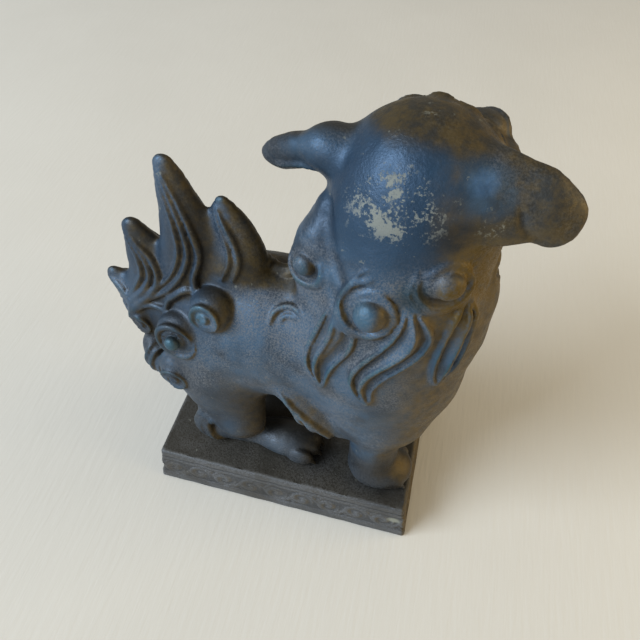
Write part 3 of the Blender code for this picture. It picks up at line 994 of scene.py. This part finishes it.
def wall_offset(along, height):
    """How far the plinth's side stands out from the deck's edge."""
    field = np.clip((height - FRIEZE_LOW + 0.03) / 0.03, 0, 1)
    field = min(field, np.clip((FRIEZE_HIGH + 0.03 - height) / 0.03, 0, 1))
    groove = math.exp(-((height - GROOVE) / 0.035) ** 2)
    lip = max(0.0, (height - 0.95) / 0.05) ** 2
    sunk = 0.0004 * field + 0.0003 * groove + 0.0006 * lip
    return FLARE * (1 - height) - sunk + 0.0005 * field * frieze(along, height)


def side_relief(along, height):
    """The side's relief for the patina and the painted shade: high on the scroll's crests, low in its
    field and the groove.
    """
    relief = np.full(len(along), -0.5 * math.exp(-((height - GROOVE) / 0.03) ** 2))
    if FRIEZE_LOW < height < FRIEZE_HIGH:
        relief += 0.7 * frieze(along, height) - 0.4
    return relief


def worn(ring, seed, depth):
    """A soft unevenness of the plinth's casting, the same on every run."""
    waves = np.random.default_rng(seed).uniform(0, 6.28, 6)
    total = sum(math.sin(1.0 + wave) * np.sin(ring[:, 0] * (170 + 95 * i) + wave * 2)
                * np.cos(ring[:, 1] * (210 + 80 * i) - wave) for i, wave in enumerate(waves))
    return depth * total / 3


def plinth_rings(ring, along):
    """Rings of points from the hollow's ceiling down its wall, up the side and over the deck."""
    foot, top = PLINTH_LOW.z, PLINTH_HIGH.z
    rows = [(-PLINTH_WALL, top - DECK_THICKNESS), (wall_offset(along, 0) - PLINTH_WALL, foot)]
    for height in SIDE_LEVELS:
        wear = worn(ring + height * 0.02, 5, 0.00018)
        rows.append((wall_offset(along, height) + wear, foot + (top - foot) * height))
    for inset in DECK_INSETS:
        rows.append((-inset, top + worn(ring * (1 - inset * 20), 8, 0.00016) - 0.00005))
    return [np.column_stack([ring * (1 + np.reshape(offset, (-1, 1)) / HALF_DECK),
                             np.broadcast_to(z, len(ring))]) for offset, z in rows]


def band_faces(count, bands):
    """Quads between rings of count points, and a cap at either end."""
    faces = [(r * count + i, r * count + (i + 1) % count,
              (r + 1) * count + (i + 1) % count, (r + 1) * count + i)
             for r in range(bands) for i in range(count)]
    faces.append(tuple(range(count))[::-1])
    faces.append(tuple(range(bands * count, (bands + 1) * count)))
    return faces


def make_plinth(material):
    """The plinth: flared sides with a scroll frieze, worn lip, deck and hollow underside."""
    ring, along = deck_outline()
    rings = plinth_rings(ring, along)
    mesh = bpy.data.meshes.new("plinth")
    mesh.from_pydata(np.vstack(rings), [], band_faces(len(ring), len(rings) - 1))
    mesh.shade_smooth()
    mesh.set_sharp_from_angle(angle=math.radians(50))
    inside, deck = np.zeros(2 * len(ring)), np.zeros(len(DECK_INSETS) * len(ring))
    sides = [side_relief(along, height) for height in SIDE_LEVELS]
    put_relief(mesh, np.concatenate([inside, *sides, deck]))
    add_piece("plinth", mesh, material)


# -------- materials

class Nodes:
    """Short names for building a material's nodes."""

    def __init__(self, name):
        self.material = bpy.data.materials.new(name)
        self.material.use_nodes = True
        self.tree = self.material.node_tree
        self.shader = self.tree.nodes["Principled BSDF"]
        self.place = self.new("ShaderNodeTexCoord").outputs["Object"]

    def new(self, kind, **settings):
        node = self.tree.nodes.new(kind)
        for key, value in settings.items():
            setattr(node, key, value)
        return node

    def put(self, socket, value):
        """Link a socket, or set a plain value."""
        if isinstance(value, bpy.types.NodeSocket):
            self.tree.links.new(value, socket)
        elif isinstance(value, tuple) and len(value) == 3 and socket.type == "RGBA":
            socket.default_value = (*value, 1)
        else:
            socket.default_value = value

    def noise(self, size, detail=3.0, roughness=0.55, stretch=(1, 1, 1)):
        """Noise whose patches are about size metres wide."""
        mapping = self.new("ShaderNodeMapping")
        mapping.inputs["Scale"].default_value = stretch
        self.put(mapping.inputs["Vector"], self.place)
        node = self.new("ShaderNodeTexNoise")
        self.put(node.inputs["Vector"], mapping.outputs[0])
        self.put(node.inputs["Scale"], 1 / size)
        self.put(node.inputs["Detail"], detail)
        self.put(node.inputs["Roughness"], roughness)
        return node.outputs["Fac"]

    def ramp(self, value, low, high, start=0.0, end=1.0):
        """The value mapped from low..high to start..end, smoothly and clamped."""
        node = self.new("ShaderNodeMapRange", interpolation_type="SMOOTHSTEP")
        for socket, number in zip(node.inputs, (value, low, high, start, end)):
            self.put(socket, number)
        return node.outputs[0]

    def maths(self, operation, *values):
        node = self.new("ShaderNodeMath", operation=operation)
        for socket, value in zip(node.inputs, values):
            self.put(socket, value)
        return node.outputs[0]

    def times(self, *values):
        total = values[0]
        for value in values[1:]:
            total = self.maths("MULTIPLY", total, value)
        return total

    def plus(self, first, second):
        return self.maths("ADD", first, second)

    def most(self, first, second):
        return self.maths("MAXIMUM", first, second)

    def blend(self, factor, low, high):
        """A colour between two."""
        node = self.new("ShaderNodeMix", data_type="RGBA")
        self.put(node.inputs["Factor"], factor)
        self.put(node.inputs[6], low)
        self.put(node.inputs[7], high)
        return node.outputs[2]

    def facing(self, way):
        """How far the surface looks the given way, from -1 to 1."""
        node = self.new("ShaderNodeVectorMath", operation="DOT_PRODUCT")
        self.put(node.inputs[0], self.new("ShaderNodeNewGeometry").outputs["Normal"])
        node.inputs[1].default_value = Vector(way).normalized()
        return node.outputs["Value"]

    def near(self, centre, radii):
        """1 at a place on the statue, in figure units, falling to 0 at the radii."""
        mapping = self.new("ShaderNodeMapping")
        scale = [1 / (r * UNIT) for r in radii]
        mapping.inputs["Scale"].default_value = scale
        mapping.inputs["Location"].default_value = [-c * s for c, s in zip(place_of(centre), scale)]
        self.put(mapping.inputs["Vector"], self.place)
        length = self.new("ShaderNodeVectorMath", operation="LENGTH")
        self.put(length.inputs[0], mapping.outputs[0])
        return self.ramp(length.outputs["Value"], 1.0, 0.35)

    def zones(self, places):
        """The strongest of several places, each a centre, radii and strength."""
        total = 0.0
        for centre, radii, strength in places:
            total = self.most(total, self.times(self.near(centre, radii), strength))
        return total

    def finish(self, colour, roughness, height, depth, strength=1.0):
        """The material with its colour, roughness and the fine relief of a height."""
        node = self.new("ShaderNodeBump")
        self.put(node.inputs["Height"], height)
        self.put(node.inputs["Distance"], depth)
        self.put(node.inputs["Strength"], strength)
        self.put(self.shader.inputs["Normal"], node.outputs[0])
        self.put(self.shader.inputs["Base Color"], colour)
        self.put(self.shader.inputs["Roughness"], roughness)
        return self.material


SLATE = (0.024, 0.040, 0.062)
STEEL_BLUE = (0.040, 0.088, 0.150)
DUST = (0.128, 0.134, 0.146)
# Umber and ochre serve only painted light: warm reflection, shade on the tail and golden highlights.
UMBER = (0.030, 0.025, 0.016)
OCHRE = (0.130, 0.080, 0.012)
DEEP_BLUE = (0.010, 0.036, 0.076)
TEAL = (0.020, 0.085, 0.110)
DARK_TEAL = (0.006, 0.022, 0.028)
GLINT_BLUE = (0.035, 0.130, 0.185)
# A pale blue for a painted highlight.
SKY_BLUE = (0.100, 0.210, 0.400)
# Near-black painted shade, laid where the statue lies in shade and in the hollows of its relief.
PAINTED_SHADE = (0.007, 0.009, 0.012)
CHALK = (0.240, 0.245, 0.205)
EARTH = (0.080, 0.070, 0.056)

# Zones of the patina, of painted shade and of painted highlights and warm reflections: centre and radii
# in figure units, and strength.
NAPE = (((28, -10, 130), (34, 30, 26), 1),)
TAIL = (((-36, -2, 90), (38, 22, 44), 1),)
# Painted warm reflection: umber and ochre on the right ear, the crown and the top of the back.
WARM_REFLECTION = (
    ((62, -6, 130), (22, 24, 22), 1),
    ((36, 10, 148), (30, 26, 16), 1),
    ((-4, 0, 92), (34, 14, 9), 1),
)
# Painted shade: the low haunch, the rump by the tail, behind the left ear, the front leg, the hind paw
# and the whole tail.
SHADED = (
    ((-20, -20, 24), (36, 20, 30), 1),
    ((-40, -14, 60), (20, 18, 30), 1),
    ((-2, 9, 124), (18, 16, 14), 1),
    ((40, -18, 12), (26, 22, 26), 1.5),
    ((10, -15, 5), (20, 14, 12), 1.4),
    ((-36, -2, 90), (38, 22, 44), 0.45),
)
# Painted highlights on the tail's bosses and on the boss of the neck's big curl.
BOSSES = (
    ((-34, -22, 67), (5, 5, 5), 1),
    ((-24, -20, 82), (5, 5, 5), 1),
    ((26, -25, 106), (4.5, 6, 4.5), 0.6),
)
# Painted warm reflection: a golden gleam on the right of the neck and on its second curl.
WARM_GLEAM = (((52, -14, 110), (14, 18, 24), 1), ((47, -23, 115), (7.5, 7, 8), 1))
CHALKED = (((28, -16, 133), (19, 16, 14), 1), ((51, -9, 130), (8, 7, 7), 1))
CHIP = (((47, -31, -9), (3.5, 6, 2.2), 1),)

# Painted highlights and painted shade in the order they are laid: colour, strength, their grain in
# metres (0 for none) and zones.
PAINTED_LIGHTS = (
    # Painted highlight: a broad blue sheen on the right ear's root.
    (STEEL_BLUE, 1.1, 0.004, (((48.5, -9, 136), (9, 8, 8), 1),)),
    # Painted shade over the shaded zones.
    (PAINTED_SHADE, 0.5, 0, SHADED),
    # Painted highlights on the bosses.
    (GLINT_BLUE, 0.4, 0, BOSSES),
    # Painted highlight: a bright spot on the right ear's root.
    (SKY_BLUE, 0.55, 0.002, (((47, -9, 138), (4.5, 6, 3.2), 1),)),
    # Painted shade under the right ear.
    (PAINTED_SHADE, 0.6, 0, (((45, -15, 127), (9, 9, 6), 1),)),
    # Painted shade on the lower left of the flank's second curl.
    (DARK_TEAL, 0.7, 0, (((37.5, -22, 111), (6, 8, 7), 1),)),
    # Painted highlight: golden glints on the right front paw.
    (OCHRE, 0.9, 0.004, (((47, -18, 12), (8, 8, 8), 1),)),
)


def blue_ground(n, relief, nape, tail, blue_share):
    """Slate and steel blue, teal on the crests as wear from rubbing and painted highlight, and deeper on
    the nape and the tail.
    """
    colour = n.blend(n.ramp(n.noise(0.016, 4), 0.35, 0.62), SLATE, STEEL_BLUE)
    colour = n.blend(1 - blue_share, colour, EARTH)
    # Teal on the high relief: wear from rubbing and painted highlight on the crests.
    rubbed_and_highlit = n.times(n.ramp(relief, 0.25, 0.6), n.ramp(n.noise(0.006, 2), 0.3, 0.6))
    colour = n.blend(n.times(rubbed_and_highlit, 0.55 * blue_share), colour, TEAL)
    colour = n.blend(n.times(nape, 0.85 * blue_share), colour, DEEP_BLUE)
    return n.blend(n.times(tail, 0.6), colour, DEEP_BLUE)


def settled_dust(n, relief, nape, tail, dust_share):
    """How thick the grey dust lies: in fine grains, most in hollows and least on nape and tail."""
    grain = n.ramp(n.noise(0.0006, 3, 0.85), 0.40, 0.66)
    settled = n.plus(n.ramp(n.noise(0.022, 3), 0.35, 0.65), n.ramp(relief, 0.5, -0.6, 0, 0.5))
    bare = n.most(nape, n.times(tail, 0.7))
    return n.times(grain, settled, dust_share, n.ramp(bare, 0, 1, 1, 0.1))


def with_warm_reflection(n, colour, tail, blue_share):
    """The colour with painted warm reflection: umber where it looks up, ochre where it looks right, and
    both in zones; on the tail it is painted shade.
    """
    patch = n.ramp(n.noise(0.016, 5, 0.65), 0.28, 0.72, -0.14, 0.14)
    upward = n.ramp(n.plus(n.facing((0.35, 0.60, 0.72)), patch), 0.15, 0.80)
    colour = n.blend(n.times(upward, 0.85), colour, UMBER)
    rightward = n.plus(n.facing((0.97, -0.1, -0.1)), n.times(tail, 0.45))
    rightward = n.ramp(n.plus(rightward, patch), 0.05, 0.70)
    golden = n.maths("SUBTRACT", n.noise(0.003, 3), n.times(tail, 0.22))
    tint = n.blend(n.ramp(golden, 0.10, 0.85), UMBER, OCHRE)
    colour = n.blend(n.times(rightward, 0.9), colour, tint)
    share = n.ramp(n.plus(n.zones(WARM_REFLECTION), patch), 0.1, 0.6, 0, 0.85 * blue_share)
    tint = n.blend(n.ramp(n.noise(0.005, 4, 0.7), 0.38, 0.66, 0, 0.5), UMBER, OCHRE)
    return n.blend(share, colour, tint)


def with_painted_light(n, colour):
    """The colour with every local patch of painted highlight and painted shade."""
    for paint, strength, grain, places in PAINTED_LIGHTS:
        mask = n.times(n.zones(places), strength)
        if grain:
            mask = n.times(mask, n.noise(grain, 3))
        colour = n.blend(mask, colour, paint)
    return colour


def chalk_layer(n, zone):
    """Ragged chalky crusts where the zone is strong."""
    ragged = n.plus(n.noise(0.010, 6, 0.8), n.ramp(n.noise(0.0008, 3), 0.3, 0.7, -0.06, 0.06))
    return n.times(n.ramp(n.maths("MULTIPLY_ADD", zone, 0.16, ragged), 0.61, 0.70), zone)


def bronze(name, blue_share, dust_share):
    """Old patinated bronze: dusty steel blue, chalky on the nape, with painted warm reflection, painted
    highlights and painted shade laid in its colour.
    """
    n = Nodes(name)
    relief = n.new("ShaderNodeAttribute", attribute_name="relief").outputs["Fac"]
    nape, tail = n.zones(NAPE), n.zones(TAIL)
    dust = settled_dust(n, relief, nape, tail, dust_share)
    # A golden gleam of painted warm reflection in its zones.
    warm_gleam = n.times(n.zones(WARM_GLEAM), n.ramp(n.noise(0.003, 4, 0.7), 0.3, 0.6, 0.2, 1))
    chalk = chalk_layer(n, n.zones(CHALKED))
    flecks = n.times(n.ramp(n.noise(0.0045, 4, 0.7), 0.66, 0.70), 0.35 * dust_share)
    colour = blue_ground(n, relief, nape, tail, blue_share)
    colour = n.blend(n.maths("MINIMUM", dust, 0.85), colour, DUST)
    colour = with_painted_light(n, with_warm_reflection(n, colour, tail, blue_share))
    colour = n.blend(n.times(warm_gleam, 0.85), colour, OCHRE)
    # Painted shade in the hollows of the relief.
    colour = n.blend(n.ramp(relief, -0.10, -0.5, 0, 0.55), colour, PAINTED_SHADE)
    colour = n.blend(n.times(chalk, 0.7), colour, CHALK)
    colour = n.blend(n.most(flecks, n.zones(CHIP)), colour, CHALK)
    dull = n.most(dust, chalk)
    metallic = n.most(n.ramp(dull, 0, 0.6, 0.45, 0.1), n.times(warm_gleam, 0.8))
    pits = n.plus(n.times(n.noise(0.0009, 3, 0.6), 0.7), n.times(n.noise(0.005, 3), 0.3))
    n.put(n.shader.inputs["Metallic"], metallic)
    roughness = n.ramp(n.plus(dull, n.noise(0.004)), 0.3, 1.2, 0.40, 0.75)
    return n.finish(colour, roughness, pits, 0.0005, 0.4)


def metal(name, dark, light, grain_size, stretch, roughness):
    """Plain turned or cut metal with faint tool marks."""
    n = Nodes(name)
    marks = n.noise(grain_size, 2, 0.5, stretch)
    n.put(n.shader.inputs["Metallic"], 1.0)
    roughness = n.ramp(n.noise(0.002), 0.3, 0.7, roughness - 0.08, roughness + 0.08)
    return n.finish(n.blend(n.ramp(marks, 0.3, 0.7), dark, light), roughness, marks, 0.00008)


def felt(name):
    """Dark green pressed felt."""
    n = Nodes(name)
    fibres = n.noise(0.0006, 5, 0.7, (1, 1, 2.5))
    n.put(n.shader.inputs["Sheen Weight"], 0.35)
    return n.finish(n.blend(fibres, (0.020, 0.060, 0.040), (0.075, 0.150, 0.100)), 0.95, fibres, 0.0004)


def table_cloth(name):
    """Cream cotton with a faint rib."""
    n = Nodes(name)
    rib = n.noise(0.0022, 2, 0.5, (1, 0.12, 1))
    shade = n.ramp(n.noise(0.12, 3), 0.3, 0.7)
    colour = n.blend(shade, (0.595, 0.565, 0.510), (0.615, 0.585, 0.53))
    colour = n.blend(n.ramp(rib, 0.3, 0.7, 0, 0.12), colour, (0.56, 0.53, 0.47))
    return n.finish(colour, 0.95, rib, 0.0003, 0.5)


def dress_cad_parts():
    """Procedural finishes for the pins, studs, washers, nuts and felt of the frame."""
    brass = metal("brass_pin", (0.45, 0.32, 0.12), (0.66, 0.50, 0.23), 0.0008, (1, 1, 6), 0.32)
    steel = metal("steel_fixing", (0.30, 0.30, 0.31), (0.55, 0.55, 0.56), 0.0007, (1, 1, 4), 0.38)
    finishes = {"neck": brass, "stud": steel, "washer": steel, "nut": steel, "felt": felt("felt")}
    for node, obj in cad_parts.items():
        material = finishes.get(node.split("_")[0])
        if material:
            for place in obj.material_slots:
                place.link = "OBJECT"
                place.material = material


# -------- stage

def aim(obj, place, way):
    """Put a lamp or camera at a place, looking a given way."""
    obj.location = place
    obj.rotation_mode = "QUATERNION"
    obj.rotation_quaternion = Vector(way).to_track_quat("-Z", "Y")
    bpy.context.scene.collection.objects.link(obj)


def add_lamp(name, place, target, size, power, colour):
    """A soft square lamp aimed at a target."""
    lamp = bpy.data.lights.new(name, "AREA")
    lamp.shape = "SQUARE"
    lamp.size = size
    lamp.energy = power
    lamp.color = colour
    aim(bpy.data.objects.new(name, lamp), place, Vector(target) - Vector(place))


def make_table():
    """A table top under a pale cloth."""
    mesh = bpy.data.meshes.new("table")
    reach = 3.0
    corners = [(-reach, -reach, 0), (reach, -reach, 0), (reach, reach, 0), (-reach, reach, 0)]
    mesh.from_pydata(corners, [], [(0, 1, 2, 3)])
    table = bpy.data.objects.new("table", mesh)
    bpy.context.scene.collection.objects.link(table)
    mesh.materials.append(table_cloth("table_cloth"))


def light_room():
    """Soft window light from the left, warm light from the right and a dim cream room."""
    world = bpy.data.worlds.new("room")
    bpy.context.scene.world = world
    world.use_nodes = True
    background = world.node_tree.nodes["Background"]
    background.inputs["Color"].default_value = (1.0, 0.93, 0.80, 1)
    background.inputs["Strength"].default_value = 0.37
    middle = (0, 0, 0.09)
    add_lamp("window", (-1.60, -1.00, 1.45), middle, 1.3, 68, (0.78, 0.89, 1.0))
    add_lamp("front_sky", (-0.35, -0.80, 0.30), middle, 0.6, 1.6, (0.75, 0.87, 1.0))
    add_lamp("warm_room", (0.75, 0.10, 0.40), middle, 0.6, 3.2, (1.0, 0.80, 0.46))


def make_camera():
    """The camera, high in front of the lion's right side."""
    camera = bpy.data.cameras.new("camera")
    camera.lens = CAMERA_LENS
    camera.sensor_width = CAMERA_SENSOR
    camera.clip_start = 0.01
    turn, rise = math.radians(CAMERA_AZIMUTH), math.radians(CAMERA_ELEVATION)
    back = np.array((math.sin(turn) * math.cos(rise), -math.cos(turn) * math.cos(rise),
                     math.sin(rise)))
    eye = place_of(np.array(CAMERA_TARGET) + CAMERA_DISTANCE * back)
    aim(bpy.data.objects.new("camera", camera), eye, -back)
    bpy.context.scene.camera = bpy.data.objects["camera"]
    bpy.context.scene.view_settings.view_transform = "Standard"


# The legs' darker, browner copy of the bronze is painted shade under the belly.
make_figure(bronze("bronze_blue", 1.0, 1.0), bronze("bronze_dark", 0.6, 0.9))
make_plinth(bronze("bronze_plinth", 0.25, 1.0))
dress_cad_parts()
make_table()
light_room()
make_camera()
